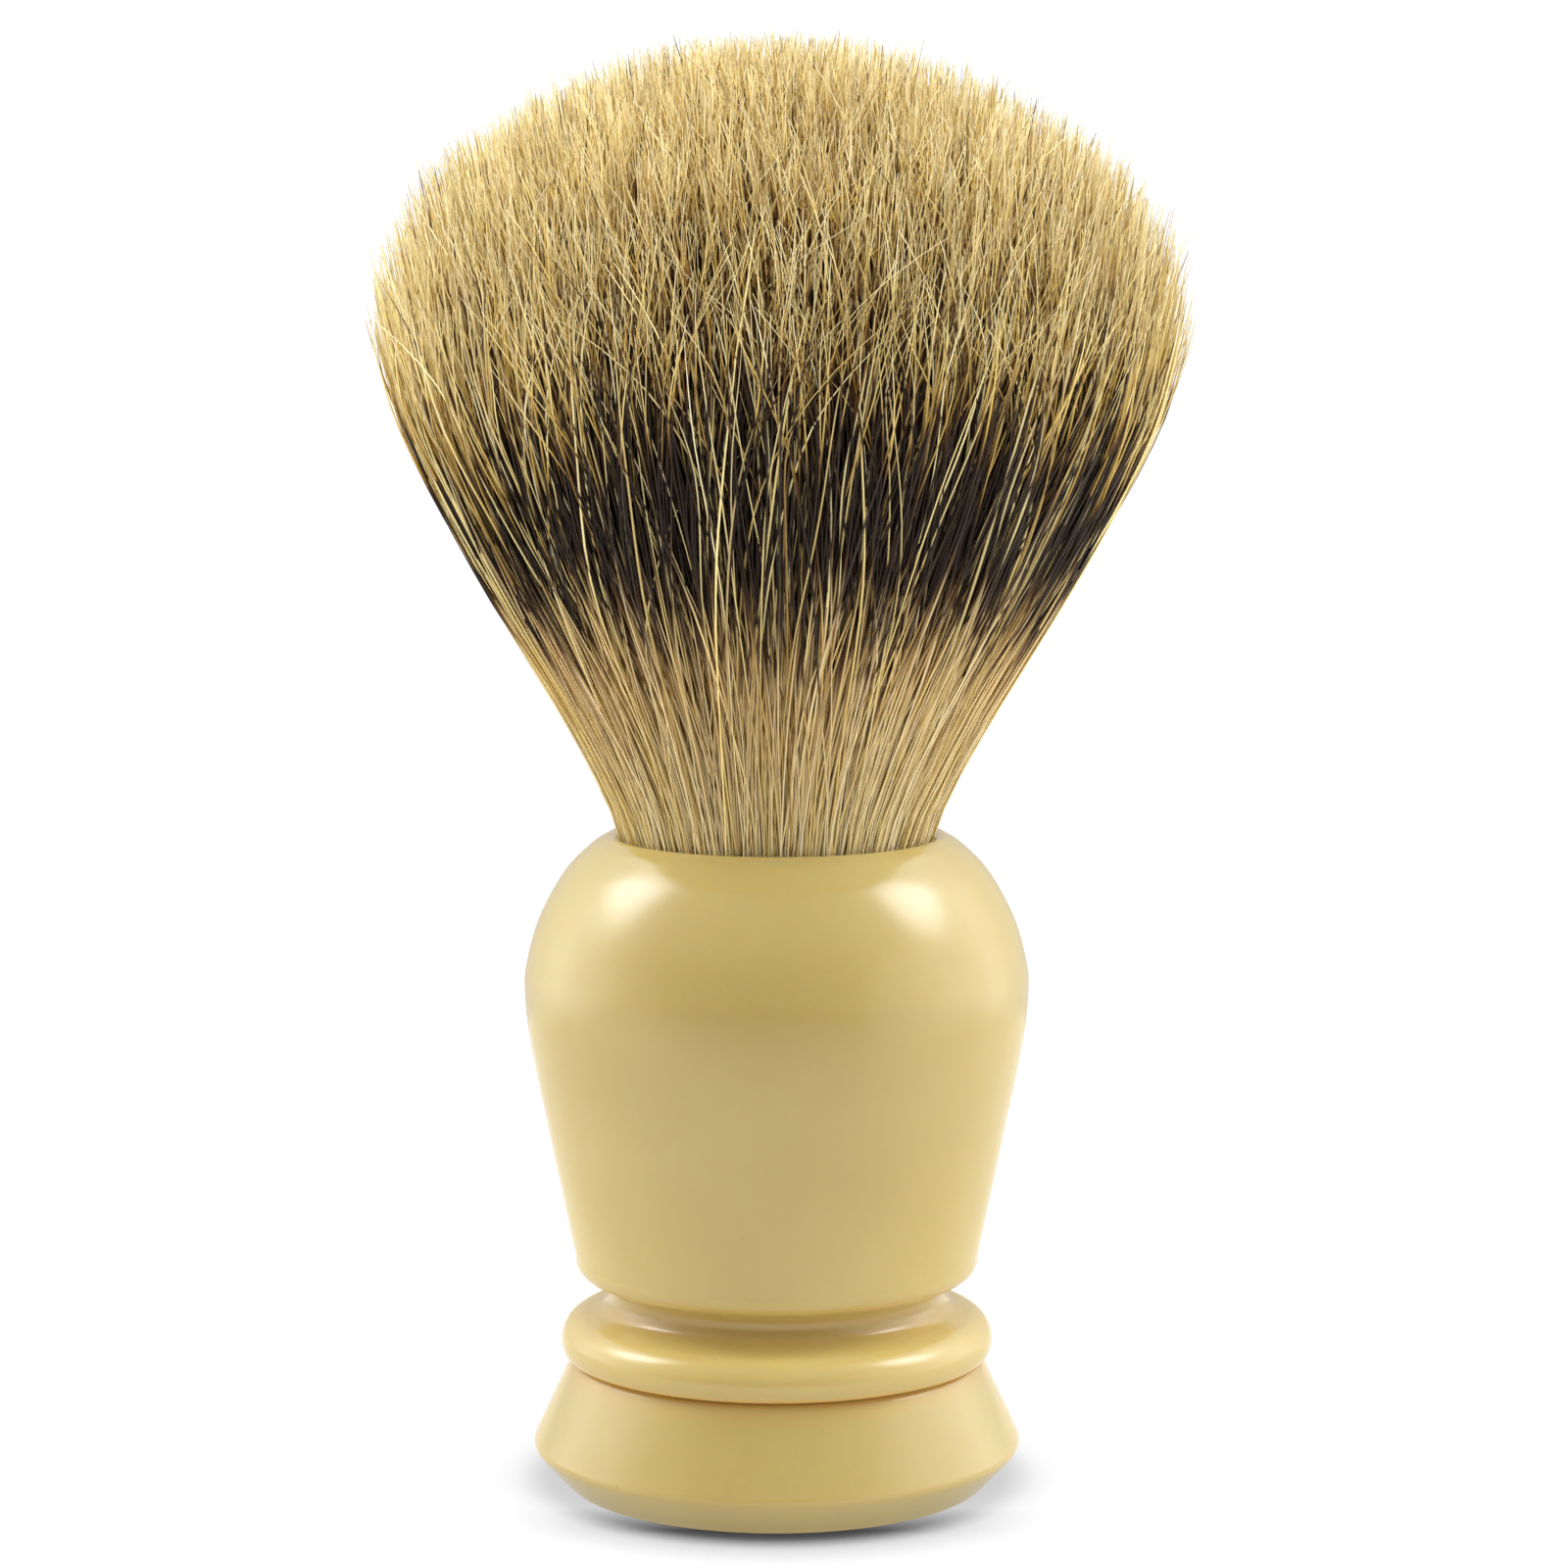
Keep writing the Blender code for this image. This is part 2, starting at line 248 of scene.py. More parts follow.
def resin_material(name="cream resin", tone=1.0):
    """Cast resin polished to a soft gloss, a little see-in, clouded in tone and faintly specked."""
    cloudy, plain, clear = (
        srgb(*(channel * tone for channel in colour))
        for colour in ((198, 176, 107), (202, 181, 112), (205, 186, 119))
    )
    made = Material(name, plain, 0.2)
    made.set("Subsurface Weight", 0.6)
    made.set("Subsurface Radius", (1.0, 0.5, 0.16))
    made.set("Subsurface Scale", 1.6 * MM)
    made.set("IOR", 1.7)
    clouds = made.ramp(made.noise(14.0, 4.0), [(0.30, cloudy), (0.52, plain), (0.72, clear)])
    speck_spacing = 2.6
    specks = made.node("ShaderNodeTexVoronoi")
    specks.inputs["Scale"].default_value = 1 / (speck_spacing * MM)
    made.link(made.place(), specks.inputs["Vector"])
    speck = made.remap(specks.outputs["Distance"], 0.02, 0.075, 1.0, 0.0)
    rare = made.remap(made.noise(3.1, 1.0), 0.56, 0.62, 0.0, 0.45)
    both = made.node("ShaderNodeMath", operation="MULTIPLY")
    made.link(speck, both.inputs[0])
    made.link(rare, both.inputs[1])
    specked = made.mix(both.outputs[0], clouds, srgb(170, 138, 78))
    # Painted shade: the resin is tinted warmer in the seams between the sections and in the hollow of the
    # neck, where shade and light bounced between the sections fall.
    parts = made.node("ShaderNodeSeparateXYZ")
    made.link(made.place(), parts.inputs["Vector"])
    reach = 20.0
    height = made.remap(parts.outputs["Z"], 0.0, reach * MM, 0.0, 1.0)
    painted_seam_shade = made.ramp(height, [(level / reach, grey(warmth)) for level, warmth in (
        (FOOT_TOP - 1.6, 0.0),
        (FOOT_TOP - 0.5, 0.25),
        (FOOT_TOP - 0.1, 0.5),
        (FOOT_TOP + 0.35, 0.5),
        (FOOT_TOP + 0.5, 0.0),
        (BODY_BOTTOM - 3.0, 0.0),
        (BODY_BOTTOM - 2.2, 0.25),
        (BODY_BOTTOM + 0.05, 0.2),
        (BODY_BOTTOM + 0.6, 0.0),
    )])
    made.colour_from(made.mix(painted_seam_shade, specked, srgb(226, 176, 96)))
    made.roughness_from(made.remap(made.noise(6.0, 5.0), 0.3, 0.7, 0.13, 0.19))
    made.bump_from(made.noise(9.0, 2.0), 0.02)
    return made.data


def metal_material(name, colour, roughness, ring_size):
    """Turned metal: fine rings of tool marks round the axis, and slightly uneven tone."""
    made = Material(name, colour, roughness, metallic=1.0)
    dark = tuple(c * 0.72 for c in colour[:3]) + (1.0,)
    made.colour_from(made.mix(made.remap(made.noise(2.0, 4.0), 0.35, 0.7, 0.0, 1.0), colour, dark))
    marks = made.noise(ring_size, 2.0, stretch=(0.05, 0.05, 1.0))
    made.roughness_from(made.remap(marks, 0.3, 0.7, roughness * 0.8, roughness * 1.3))
    made.bump_from(marks, 0.02)
    return made.data


def felt_material():
    """Matted wool in uneven fawn."""
    made = Material("felt", srgb(176, 152, 104), 0.95)
    fibres = made.noise(0.35, 6.0)
    made.colour_from(made.ramp(fibres, [(0.3, srgb(150, 126, 80)), (0.7, srgb(198, 176, 128))]))
    made.bump_from(fibres, 0.15)
    return made.data


def epoxy_material():
    """Set epoxy: glossy amber, clouded."""
    made = Material("epoxy", srgb(176, 138, 70), 0.2)
    made.colour_from(made.ramp(made.noise(1.6, 4.0), [
        (0.3, srgb(150, 112, 52)), (0.7, srgb(198, 162, 92)),
    ]))
    made.set("Coat Weight", 0.4)
    return made.data


def thread_material():
    """Waxed linen thread with its twist showing."""
    made = Material("waxed thread", srgb(214, 202, 172), 0.65)
    twist = made.noise(0.3, 2.0, stretch=(1.0, 1.0, 0.5))
    made.colour_from(made.ramp(twist, [(0.3, srgb(186, 172, 138)), (0.7, srgb(228, 218, 192))]))
    made.bump_from(twist, 0.1)
    return made.data


BAND_TOP = 0.34                     # where the dark band starts and ends in a hair's colour pattern
BAND_BOTTOM = 0.74


def hair_material():
    """Badger hair: golden tip, near-black band and cream root, placed by the hair's own pattern."""
    made = Material("badger hair", srgb(228, 206, 156), 0.4)
    made.set("Specular IOR Level", 0.3)
    coords = made.node("ShaderNodeAttribute", attribute_name="hair_coords")
    parts = made.node("ShaderNodeSeparateXYZ")
    made.link(coords.outputs["Vector"], parts.inputs["Vector"])
    pattern, tone, warmth = (parts.outputs[i] for i in range(3))
    banded = made.ramp(pattern, [
        (0.00, srgb(255, 246, 206)),
        (0.05, srgb(246, 230, 176)),
        (0.17, srgb(228, 205, 140)),
        (BAND_TOP - 0.05, srgb(200, 168, 94)),
        (BAND_TOP + 0.02, srgb(104, 74, 46)),
        (BAND_TOP + 0.07, srgb(54, 43, 37)),
        (BAND_BOTTOM - 0.06, srgb(52, 41, 36)),
        (BAND_BOTTOM - 0.01, srgb(104, 78, 56)),
        (BAND_BOTTOM + 0.05, srgb(234, 209, 160)),
        (1.00, srgb(255, 240, 196)),
    ])
    toned = made.mix(1.0, banded, made.ramp(tone, [
        (0.0, (0.42, 0.28, 0.15, 1.0)), (0.4, (0.84, 0.78, 0.67, 1.0)), (0.9, (1.34, 1.35, 1.38, 1.0)),
    ]), "MULTIPLY")
    # Near the socket the hairs are more alike.
    alike = made.ramp(pattern, [(BAND_BOTTOM + 0.06, grey(0.0)), (0.95, grey(0.72))])
    toned = made.mix(alike, toned, banded)
    tinted = made.mix(1.0, toned, made.ramp(warmth, [
        (0.0, (0.98, 1.0, 1.12, 1.0)), (0.5, (0.98, 0.98, 0.92, 1.0)), (1.0, (1.0, 0.92, 0.64, 1.0)),
    ]), "MULTIPLY")
    made.colour_from(tinted)
    return made.data


def hair_core_material():
    """What shows between the hairs: the shaded mass of hair behind, streaked along its length."""
    made = Material("hair mass", srgb(60, 46, 30), 0.9)
    streaks = made.noise(0.7, 4.0, stretch=(1.0, 1.0, 0.04))
    dark = made.ramp(streaks, [(0.3, srgb(22, 17, 14)), (0.7, srgb(64, 50, 36))])
    light = made.ramp(streaks, [(0.3, srgb(160, 128, 70)), (0.7, srgb(226, 196, 134))])
    parts = made.node("ShaderNodeSeparateXYZ")
    made.link(made.place(), parts.inputs["Vector"])
    low, high = (LIP + 12.0) * MM, (LIP + 20.0) * MM
    made.colour_from(made.mix(made.remap(parts.outputs["Z"], low, high, 0.0, 1.0), light, dark))
    made.bump_from(streaks, 0.4)
    return made.data


# ---------------------------------------------------------------- the handle

def body_piece(material):
    """The round body. Its outline runs from the socket's floor, over the lip and down the outside,
    to the recesses for the neck ring and the brass insert in its underside."""
    lip_radius = 0.5
    edge_radius = 1.2
    bulb = smooth_curve([
        (SOCKET_RADIUS + 0.9, LIP),
        (13.3, LIP - 0.75),
        (15.2, LIP - 2.7),
        (17.0, LIP - 6.0),
        (BODY_RADIUS - 0.1, LIP - 9.3),
        (BODY_RADIUS, LIP - 11.4),
        (17.75, LIP - 14.2),
        (17.15, LIP - 17.5),
    ], steps=9)
    edge = arc((BODY_LOW_RADIUS - edge_radius, BODY_BOTTOM + edge_radius), edge_radius, 10, -90, 12)
    socket_floor = LIP - SOCKET_DEPTH
    recess_top = TENON_TOP + CLEARANCE
    insert_top = recess_top + INSERT_DEPTH
    outline = [
        (AXIS_HOLE, socket_floor),
        (SOCKET_RADIUS, socket_floor),
        *arc((SOCKET_RADIUS + lip_radius, LIP - lip_radius), lip_radius, 180, 90, 8),
        *bulb,
        *edge,
        (TENON_BORE, BODY_BOTTOM),
        (TENON_BORE, recess_top),
        (INSERT_BORE, recess_top),
        (INSERT_BORE, insert_top),
        (AXIS_HOLE, insert_top),
    ]
    piece = turn("handle_body_fine", outline, material)
    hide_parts("handle_body")
    return piece


def neck_piece(material):
    """The neck ring: a hollow neck that swells into a rounded ring, with a tenon above and a spigot
    below. The seam under the ring is open at its edge and closes further in."""
    shoulder = BODY_BOTTOM - SEAM
    under = FOOT_TOP + 0.16
    closed = FOOT_TOP + 0.04
    tenon_radius = TENON_BORE - CLEARANCE
    spigot_radius = SPIGOT_BORE - CLEARANCE
    chamfer = 0.4
    side = smooth_curve([
        (12.55, shoulder),
        (12.15, shoulder - 0.5),
        (12.0, shoulder - 1.15),
        (12.15, shoulder - 1.85),
        (12.7, shoulder - 2.42),
        (13.5, shoulder - 2.68),
        (14.3, shoulder - 2.84),
        (15.0, shoulder - 3.25),
        (RING_RADIUS - 0.12, shoulder - 3.9),
        (RING_RADIUS, shoulder - 4.5),
        (RING_RADIUS - 0.05, shoulder - 5.05),
        (RING_RADIUS - 0.2, under + 0.2),
    ], steps=6)
    outline = [
        (SCREW_BORE, TENON_TOP),
        (tenon_radius - chamfer, TENON_TOP),
        (tenon_radius, TENON_TOP - chamfer),
        (tenon_radius, shoulder),
        *side,
        (RING_RADIUS - 0.32, under + 0.05),
        (RING_RADIUS - 0.5, under),
        (14.75, under - 0.03),
        (14.66, under - 0.07),
        (14.64, closed),
        (spigot_radius, closed),
        (spigot_radius, SPIGOT_BOTTOM),
        (SCREW_BORE, SPIGOT_BOTTOM),
    ]
    piece = turn("neck_ring_fine", outline, material)
    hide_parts("neck_ring")
    return piece


def foot_piece(material):
    """The flared foot, with a recess above for the spigot and a pocket below for the ballast."""
    recess_radius = DISC_RADIUS + CLEARANCE
    spigot_floor = SPIGOT_BOTTOM - CLEARANCE
    edge_radius = 0.7
    edge_height = 2.75
    bevel_edge = 0.15
    outline = [
        (SPIGOT_BORE, FOOT_TOP),
        (14.4, FOOT_TOP),
        (14.6, FOOT_TOP - 0.04),
        (14.76, FOOT_TOP - 0.16),
        (14.88, FOOT_TOP - 0.34),
        (15.02, FOOT_TOP - 0.62),
        *arc((FOOT_RADIUS - edge_radius, edge_height), edge_radius, 26, -48, 14),
        (REST_RADIUS + bevel_edge, bevel_edge),
        (REST_RADIUS, 0.0),
        (recess_radius, 0.0),
        (recess_radius, DISC_RECESS_TOP),
        (POCKET_RADIUS, DISC_RECESS_TOP),
        (POCKET_RADIUS, POCKET_TOP),
        (SCREW_BORE, POCKET_TOP),
        (SCREW_BORE, spigot_floor),
        (SPIGOT_BORE, spigot_floor),
    ]
    piece = turn("base_foot_fine", outline, material)
    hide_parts("base_foot")
    return piece


def finish_cad_nodes():
    """Give each node that stays as modelled its own material."""
    steel = metal_material("turned steel", srgb(190, 190, 194), 0.32, 0.25)
    looks = {
        "brass_insert": metal_material("brass", srgb(214, 178, 104), 0.28, 0.3),
        "tie_screw": steel,
        "screw_washer": steel,
        "ballast_weight": steel,
        "base_disc": felt_material(),
        "socket_adhesive": epoxy_material(),
        "knot_plug": epoxy_material(),
        "knot_binding": thread_material(),
    }
    for name, look in looks.items():
        for slot in nodes[name].material_slots:
            slot.material = look


# ---------------------------------------------------------------- the hair

SECTORS = 6                         # the knot is kept in this many slices, like a cake
OUTER_HAIRS = 900                   # full-length hairs in one slice, in the outer fifth of the radius
INNER_HAIRS = 1900                  # hairs in one slice, inside those, that show their upper part only
STRAYS = 270                        # hairs that lie loosely over the outside
TUFTS = 620                         # hairs lean together into about this many tufts
KINDS = 128                         # differently coloured hairs, before they repeat
PALE_KINDS = 0.14                   # share of the kinds that have no dark band
DARK_KINDS = 0.025                  # share of the kinds that are dark to the tip
TIP_LENGTH = 12.0                   # golden part of a hair
# The band's climb in front and behind is partly painted light: it leaves the flanks paler where the
# lights at the sides fall, and partly the paler hair at the flanks.
BAND_SWELL = 8.0                    # how much higher the dark band climbs in front and behind
BAND_TILT = 1.6                     # how much higher it climbs on the +X side, and lower on the other
ROOT_LENGTH = 19.2                  # cream part of a hair above the socket
HAIR_WIDTH = 0.19
OUTER_SHARE = 0.8                   # outer hairs start at this share of the bundle's radius
INNER_LENGTH = 27.0                 # length of an inner hair that is modelled, from its tip down
OUTER_RINGS = 20
INNER_RINGS = 10
STRAY_RINGS = 22
RING_SPACING = 1.25                 # above 1, a hair's rings are closer together towards its tip
SHORTEST_TIP = 2.5
PALE_PATTERN = 0.14                 # a hair with no band runs up to here in the colour pattern
KNOT_LEAN = 0.25                    # how far the knot bulges towards +X at mid-height

# How each hair strays from its even place in the fan. Lengths are standard deviations.
LEAN = 2.7                          # bends away late, towards the tip
DRIFT = 1.0                         # leans evenly all the way up
WAVE = 0.34                         # waves from side to side
HOOK = 2.4                          # bends at the very end
HOOK_LENGTH = 0.2                   # share of the hair's length that such a bend takes up
HOOK_SHARE = 0.2                    # share of the hairs that have one
TWIST = 0.16                        # radians that its foot lies round from its tip's place
DEEPER = 0.07                       # share of the radius that its foot lies further in
SHORT_SHARE = 0.12                  # share of the hairs that end below the dome

# The bundle's radius at each height, carried on upwards past the tips of the outer hairs.
FLARE = [
    (LIP - 6.0, 11.0), (LIP - 0.4, 11.25), (LIP + 1.7, 11.95), (LIP + 5.0, 13.6), (LIP + 10.0, 16.4),
    (LIP + 20.1, 22.5), (LIP + 28.4, 26.8), (LIP + 33.3, 28.4), (LIP + 37.2, 29.2),
    (LIP + 43.2, 30.2), (LIP + 49.2, 31.3), (LIP + 58.0, 32.8),
]
# The dome that the tips end on: radius and height below its top.
DOME = [
    (0.0, 0.0), (7.2, 1.2), (13.5, 3.3), (17.5, 5.3), (20.8, 7.3), (23.6, 9.5), (25.4, 11.6),
    (27.0, 13.9), (27.9, 15.9), (28.6, 19.0), (30.0, 24.0),
]


def flare_radius(height):
    """The bundle's radius at a height."""
    heights, radii = np.array(smooth_curve(FLARE, 6)).T
    return np.interp(height, heights, radii)


def dome_height(radius):
    """The height of the tips' dome at a radius."""
    radii, drops = np.array(smooth_curve(DOME, 6)).T
    return HAIR_TOP - np.interp(radius, radii, drops)


def tip_heights(share):
    """Where a hair that keeps this share of the bundle's radius meets the dome."""
    low = np.full(share.shape, LIP + 20.0)
    high = np.full(share.shape, HAIR_TOP + 1.0)
    for _ in range(30):
        middle = (low + high) / 2
        inside = middle < dome_height(share * flare_radius(middle))
        low = np.where(inside, middle, low)
        high = np.where(inside, high, middle)
    return low


def on_disc(share, azimuth):
    """Points in plan, at a share of the radius in a direction."""
    return np.stack([share * np.cos(azimuth), share * np.sin(azimuth)], -1)


def tuft_centres():
    """Where each tuft is on the dome, as shares of its radius, and how strongly it draws hairs in."""
    rng = np.random.default_rng(7)
    centres = on_disc(np.sqrt(rng.random(TUFTS)), math.tau * rng.random(TUFTS))
    return centres, rng.uniform(0.0, 0.9, TUFTS)


def hair_lines(rng, tufts, share, azimuth, start, rings, loose=1.0):
    """Centre lines of hairs that fan out from the socket, with the lean, sway and bend of real ones."""
    count = len(share)
    tip = tip_heights(share) - np.abs(rng.normal(0, 0.7, count)) + 0.45
    tip -= (rng.random(count) < SHORT_SHARE) * rng.uniform(0.5, 6.0, count)
    fraction = 1 - (1 - np.linspace(0, 1, rings)) ** RING_SPACING
    height = start[:, None] + (tip - start)[:, None] * fraction[None, :]
    up = np.clip((height - LIP) / (tip - LIP)[:, None], 0, 1)
    centres, strengths = tufts
    place = on_disc(share, azimuth)
    nearest = np.empty(count, dtype=int)
    batch = 500
    for first in range(0, count, batch):
        part = place[first:first + batch]
        nearest[first:first + batch] = ((part[:, None] - centres[None]) ** 2).sum(-1).argmin(1)
    pull = strengths[nearest][:, None, None] * smooth_step(up, 0.5, 1.0)[:, :, None]
    plan = place[:, None, :] + (centres[nearest] - place)[:, None, :] * pull
    # A hair's foot lies a little to one side of its tip's place, so that neighbours cross.
    twist = TWIST * rng.normal(0, 1, count)[:, None] * (1 - up) ** 1.2
    deeper = 1 - DEEPER * np.abs(rng.normal(0, 1, count))[:, None] * (1 - up)
    turned = np.stack([plan[:, :, 0] * np.cos(twist) - plan[:, :, 1] * np.sin(twist),
                       plan[:, :, 0] * np.sin(twist) + plan[:, :, 1] * np.cos(twist)], -1)
    plan = turned * deeper[:, :, None]
    outward = on_disc(np.ones(count), azimuth)
    sideways = np.stack([-outward[:, 1], outward[:, 0]], -1)
    lean = rng.normal(0, 1, (2, count, 1)) * loose
    late = rng.uniform(1.6, 6.5, (2, count, 1))
    drift = rng.normal(0, 1, (2, count, 1))
    wave = rng.normal(0, 1, (2, count, 1)) * loose
    phase = rng.uniform(0, math.tau, (2, count, 1))
    beat = rng.uniform(5.0, 14.0, (2, count, 1))
    hook = (rng.random((2, count, 1)) < HOOK_SHARE) * rng.normal(0, 1, (2, count, 1))
    near_tip = np.clip(up - (1 - HOOK_LENGTH), 0, 1) / HOOK_LENGTH
    shift = (LEAN * lean * up ** late
             + DRIFT * drift * up
             + WAVE * wave * np.sin(up * beat + phase) * up ** 0.5
             + HOOK * hook * near_tip ** 2)
    # Outer hairs mostly lean inwards, because the ones behind them hold them up.
    inwards = 0.55 * share[:, None] ** 8 * up ** 2
    flat = (plan * flare_radius(height)[:, :, None]
            + sideways[:, None, :] * shift[0][:, :, None]
            + outward[:, None, :] * (np.minimum(shift[1], 0.9) * (1 - 0.55 * share[:, None] ** 4)
                                     - inwards)[:, :, None])
    flat[:, :, 0] += KNOT_LEAN * np.sin(math.pi * np.clip((height - LIP) / (HAIR_TOP - LIP), 0, 1) ** 1.2)
    return np.concatenate([flat, height[:, :, None]], 2)


def hair_kinds():
    """For each kind of hair: whether it has the dark band, its tone, its warmth and its band's ends."""
    rng = np.random.default_rng(11)
    mark = rng.permutation(KINDS) / KINDS
    return {
        "pale": mark < PALE_KINDS,
        "dark": mark > 1 - DARK_KINDS,
        "tone": np.clip(rng.normal(0.55, 0.28, KINDS), 0, 1),
        "warmth": rng.random(KINDS),
        "tip": TIP_LENGTH + rng.normal(0, 4.4, KINDS),
        "root": ROOT_LENGTH + rng.normal(0, 3.3, KINDS),
    }


def hair_pattern(lines, kind, kinds):
    """Where each ring of a hair lies in the colour pattern: 0 at the tip, 1 at the socket."""
    steps = np.linalg.norm(np.diff(lines, axis=1), axis=2)
    none = np.zeros((len(lines), 1))
    from_tip = np.concatenate([np.cumsum(steps[:, ::-1], 1)[:, ::-1], none], 1)
    from_root = np.clip(lines[:, :, 2] - LIP, 0, None) * 1.12
    tip_place = lines[:, -1, :2]
    facing = tip_place[:, 1] ** 2 / (tip_place ** 2).sum(1)
    tilt = tip_place[:, 0] / HAIR_RADIUS
    # Partly painted light: the band sits lower at the flanks so that they show paler, as if lit from the
    # sides.
    tip = kinds["tip"][kind][:, None] - (BAND_SWELL * facing + BAND_TILT * tilt)[:, None]
    tip = np.maximum(tip, SHORTEST_TIP)
    root = kinds["root"][kind][:, None]
    upper = BAND_TOP * from_tip / tip
    lower = 1 - (1 - BAND_BOTTOM) * from_root / root
    middle = BAND_TOP + (BAND_BOTTOM - BAND_TOP) * (from_tip - tip) / np.maximum(
        from_tip - tip + from_root - root, 0.5)
    pattern = np.where(from_tip < tip, upper, np.where(from_root < root, lower, middle))
    pattern = np.where(kinds["pale"][kind][:, None], np.clip(from_tip / 60, 0, 1) * PALE_PATTERN, pattern)
    darkest = BAND_TOP + 0.1
    pattern = np.where(kinds["dark"][kind][:, None], np.maximum(pattern, darkest), pattern)
    return np.clip(pattern, 0.002, 0.998)


def tubes(name, lines, radii, kind, kinds, material, sides=3):
    """One mesh of thin tapered tubes. lines is hairs x rings x 3, radii is hairs x rings."""
    hairs, rings, _ = lines.shape
    along = np.gradient(lines, axis=1)
    along /= np.linalg.norm(along, axis=2, keepdims=True)
    across = np.cross(along, (0.0, 0.0, 1.0)) + np.array((1e-4, 0.0, 0.0))
    across /= np.linalg.norm(across, axis=2, keepdims=True)
    other = np.cross(along, across)
    angles = np.arange(sides) * math.tau / sides
    ring = (across[:, :, None, :] * np.cos(angles)[None, None, :, None]
            + other[:, :, None, :] * np.sin(angles)[None, None, :, None])
    verts = (lines[:, :, None, :] + ring * radii[:, :, None, None]).reshape(-1, 3) * MM
    hair, level, side = np.meshgrid(
        np.arange(hairs), np.arange(rings - 1), np.arange(sides), indexing="ij")
    base = (hair * rings + level) * sides
    turned = (side + 1) % sides
    quads = np.stack([base + side, base + turned, base + sides + turned, base + sides + side], -1)
    quads = quads.reshape(-1, 4)
    mesh = bpy.data.meshes.new(name)
    mesh.vertices.add(len(verts))
    mesh.vertices.foreach_set("co", verts.astype(np.float32).ravel())
    mesh.loops.add(quads.size)
    mesh.loops.foreach_set("vertex_index", quads.astype(np.int32).ravel())
    mesh.polygons.add(len(quads))
    mesh.polygons.foreach_set("loop_start", np.arange(0, quads.size, 4, dtype=np.int32))
    mesh.update(calc_edges=True)
    mesh.shade_smooth()
    pattern = hair_pattern(lines, kind, kinds)
    ones = np.ones_like(pattern)
    tone = kinds["tone"][kind][:, None] * ones
    warmth = kinds["warmth"][kind][:, None] * ones
    coords = np.stack([pattern, tone, warmth], -1)
    attribute = mesh.attributes.new("hair_coords", "FLOAT_VECTOR", "POINT")
    spread = np.repeat(coords.reshape(-1, 3), sides, axis=0)
    attribute.data.foreach_set("vector", spread.astype(np.float32).ravel())
    # A map for baking the colours to a texture: a column for each kind of hair, and the pattern up the
    # column.
    column = np.stack([side, side + 1, side + 1, side], -1) / sides * 0.8 + 0.1
    u = (kind[hair][..., None] + column) / KINDS
    v = np.stack([pattern[hair, level + step] for step in (0, 0, 1, 1)], -1)
    layer = mesh.uv_layers.new(name="OFBake")
    layer.uv.foreach_set("vector", np.stack([u, v], -1).astype(np.float32).ravel())
    return new_object(name, mesh, material)


def hair_radii(rng, count, rings, width):
    """Hairs are thickest in the middle and fine at the tip."""
    along = 1 - (1 - np.linspace(0, 1, rings)) ** RING_SPACING
    profile = np.interp(along, [0, 0.3, 0.6, 0.88, 1.0], [0.62, 0.7, 1.0, 0.72, 0.2])
    return width / 2 * rng.uniform(0.7, 1.2, count)[:, None] * profile[None, :]


def slice_of_knot(index, tufts, kinds, material):
    """One slice of the knot: full-length hairs near the outside, and the upper part of those within."""
    rng = np.random.default_rng(100 + index)
    width = math.tau / SECTORS
    groups = {
        "outer": (np.sqrt(rng.uniform(OUTER_SHARE ** 2, 1, OUTER_HAIRS)), OUTER_RINGS),
        "inner": (np.sqrt(rng.random(INNER_HAIRS)) * OUTER_SHARE, INNER_RINGS),
    }
    pieces = []
    for name, (share, rings) in groups.items():
        count = len(share)
        azimuth = width * (index + rng.random(count))
        start = np.full(count, LIP - 3.0) if name == "outer" else tip_heights(share) - INNER_LENGTH
        lines = hair_lines(rng, tufts, share, azimuth, start, rings)
        kind = rng.integers(0, KINDS, count)
        radii = hair_radii(rng, count, rings, HAIR_WIDTH)
        pieces.append(tubes(f"hair_{name}_{index + 1}", lines, radii, kind, kinds, material))
    return pieces


def strays(tufts, kinds, material):
    """Loose hairs that cross over the outside of the knot."""
    rng = np.random.default_rng(55)
    share = rng.uniform(0.95, 1.0, STRAYS)
    azimuth = math.tau * rng.random(STRAYS)
    start = np.full(STRAYS, LIP - 1.0)
    lines = hair_lines(rng, tufts, share, azimuth, start, STRAY_RINGS, loose=1.4)
    unbanded = np.flatnonzero(kinds["pale"])
    any_kind = rng.integers
    kind = np.where(rng.random(STRAYS) < 0.5, rng.choice(unbanded, STRAYS), any_kind(0, KINDS, STRAYS))
    radii = hair_radii(rng, STRAYS, STRAY_RINGS, HAIR_WIDTH * 0.85)
    return tubes("hair_strays", lines, radii, kind, kinds, material)


def hair_mass(material):
    """The closed mass that backs the hairs, well inside them."""
    shrink = 0.74
    bottom = LIP - 4.0
    heights = np.linspace(bottom, LIP + 33.0, 24)
    crown = 9.0
    side = [(shrink * float(flare_radius(z)), float(z)) for z in heights]
    edge, shoulder = side[-1]
    radii = np.linspace(edge, AXIS_HOLE, 14)[1:]
    top = [(float(r), shoulder + crown * (1 - (float(r) / edge) ** 2)) for r in radii]
    outline = [(AXIS_HOLE, bottom), *side, *top]
    return turn("hair_mass", outline, material, steps=96)


def knot(hairs):
    """All of the hair, gathered in the hairs collection."""
    hair = hair_material()
    tufts = tuft_centres()
    kinds = hair_kinds()
    pieces = [hair_mass(hair_core_material()), strays(tufts, kinds, hair)]
    for index in range(SECTORS):
        pieces += slice_of_knot(index, tufts, kinds, hair)
    for piece in pieces:
        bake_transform(piece)
        hairs.objects.link(piece)
    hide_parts("hair_root", "hair_crown")


# ---------------------------------------------------------------- the studio

